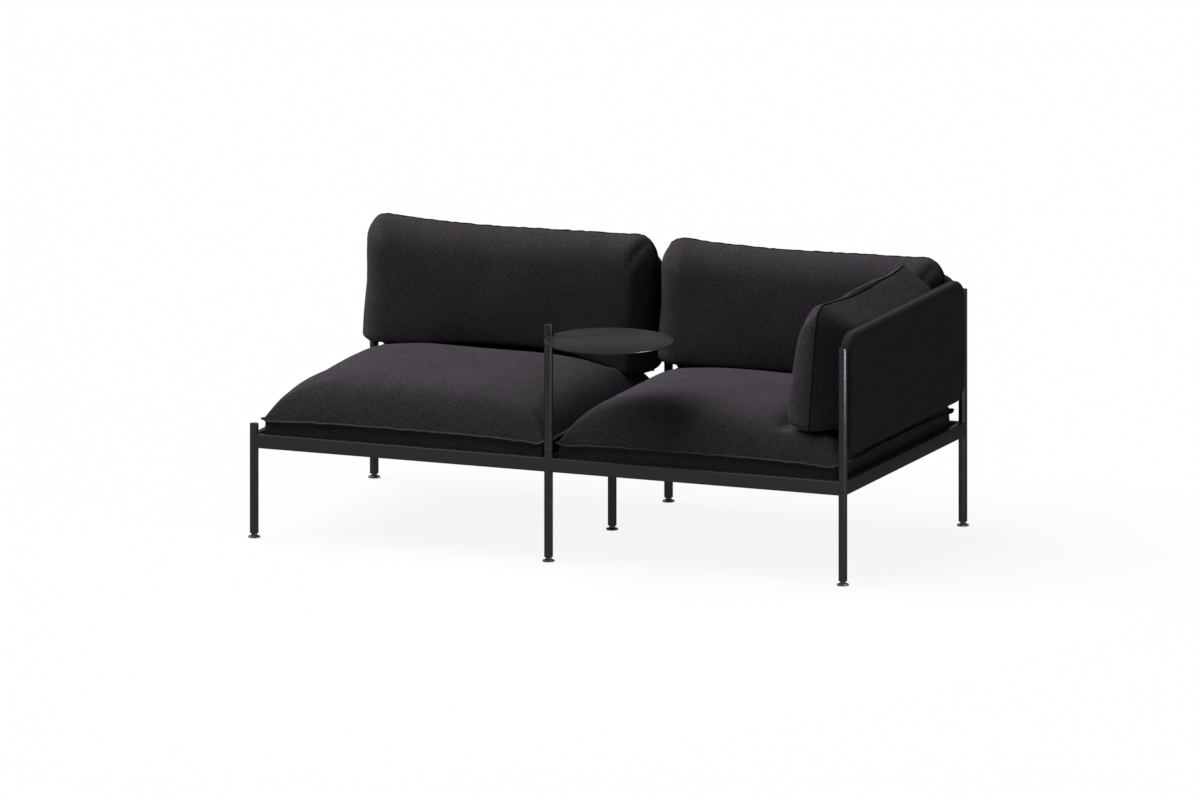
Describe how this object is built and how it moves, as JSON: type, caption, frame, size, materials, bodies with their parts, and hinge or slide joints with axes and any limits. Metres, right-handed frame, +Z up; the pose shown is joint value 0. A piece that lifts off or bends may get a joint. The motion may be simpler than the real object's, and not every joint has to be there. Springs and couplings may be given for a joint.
{
  "type": "modular sofa",
  "caption": "Low two-seater modular sofa on a steel tube frame, with one arm, loose cushions and a round side table that swivels on a front leg.",
  "frame": {"origin": "middle of the sofa's box, at the floor", "axes": "+X along the sofa's length, to the arm's side; +Y from the front to the back; +Z up"},
  "size_m": [1.835, 1.1108, 0.7795],
  "materials": {
    "powder_coat": "satin dark grey powder coat",
    "charcoal_wool": "charcoal wool with a fine mottled weave",
    "black_plastic": "black moulded plastic",
    "zinc_steel": "zinc plated",
    "birch_plywood": "plain sanded plywood"
  },
  "bodies": {
    "frame": {"arm_cushion": "charcoal_wool", "back_cushion_left": "charcoal_wool", "back_cushion_right": "charcoal_wool", "cap_back_left": "black_plastic", "cap_back_middle": "black_plastic", "cap_back_right": "black_plastic", "cap_front_left": "black_plastic", "cap_front_right": "black_plastic", "insert_back_left": "zinc_steel", "insert_back_middle": "zinc_steel", "insert_back_right": "zinc_steel", "insert_front_left": "zinc_steel", "insert_front_middle": "zinc_steel", "insert_front_right": "zinc_steel", "insert_support": "zinc_steel", "leg_front_left": "powder_coat", "leg_front_middle": "powder_coat", "leg_support": "powder_coat", "panel_arm": "charcoal_wool", "panel_back_left": "charcoal_wool", "panel_back_right": "charcoal_wool", "pin_arm_back_lower": "zinc_steel", "pin_arm_back_upper": "zinc_steel", "pin_arm_front_lower": "zinc_steel", "pin_arm_front_upper": "zinc_steel", "pin_back_left_lower": "zinc_steel", "pin_back_left_upper": "zinc_steel", "pin_back_middle_lower": "zinc_steel", "pin_back_middle_upper": "zinc_steel", "pin_back_right_lower": "zinc_steel", "pin_back_right_upper": "zinc_steel", "post_back_left": "powder_coat", "post_back_middle": "powder_coat", "post_back_right": "powder_coat", "post_front_right": "powder_coat", "rail_back_left": "powder_coat", "rail_back_right": "powder_coat", "rail_front_left": "powder_coat", "rail_front_right": "powder_coat", "rail_middle": "powder_coat", "rail_side_left": "powder_coat", "rail_side_right": "powder_coat", "seat_cushion_left": "charcoal_wool", "seat_cushion_right": "charcoal_wool", "seat_deck_left": "birch_plywood", "seat_deck_right": "birch_plywood", "table_bush": "black_plastic"},
    "side_table": {"table_pole": "powder_coat", "table_spigot": "zinc_steel", "table_top": "powder_coat", "cap_table_pole": "black_plastic"},
    "levelling_foot_front_left": {"foot_front_left": "black_plastic"},
    "levelling_foot_front_middle": {"foot_front_middle": "black_plastic"},
    "levelling_foot_support": {"foot_support": "black_plastic"},
    "levelling_foot_front_right": {"foot_front_right": "black_plastic"},
    "levelling_foot_back_left": {"foot_back_left": "black_plastic"},
    "levelling_foot_back_middle": {"foot_back_middle": "black_plastic"},
    "levelling_foot_back_right": {"foot_back_right": "black_plastic"}
  },
  "joints": [
    {"name": "table_swivel", "type": "hinge", "parent": "frame", "child": "side_table", "pos_m": [-0.0005, -0.36755, 0.33], "axis": [0, 0, 1], "continuous": true},
    {"name": "foot_height_front_left", "type": "slide", "parent": "frame", "child": "levelling_foot_front_left", "axis": [0, 0, -1], "range_m": [0, 0.01]},
    {"name": "foot_height_front_middle", "type": "slide", "parent": "frame", "child": "levelling_foot_front_middle", "axis": [0, 0, -1], "range_m": [0, 0.01]},
    {"name": "foot_height_support", "type": "slide", "parent": "frame", "child": "levelling_foot_support", "axis": [0, 0, -1], "range_m": [0, 0.01]},
    {"name": "foot_height_front_right", "type": "slide", "parent": "frame", "child": "levelling_foot_front_right", "axis": [0, 0, -1], "range_m": [0, 0.01]},
    {"name": "foot_height_back_left", "type": "slide", "parent": "frame", "child": "levelling_foot_back_left", "axis": [0, 0, -1], "range_m": [0, 0.01]},
    {"name": "foot_height_back_middle", "type": "slide", "parent": "frame", "child": "levelling_foot_back_middle", "axis": [0, 0, -1], "range_m": [0, 0.01]},
    {"name": "foot_height_back_right", "type": "slide", "parent": "frame", "child": "levelling_foot_back_right", "axis": [0, 0, -1], "range_m": [0, 0.01]}
  ]
}
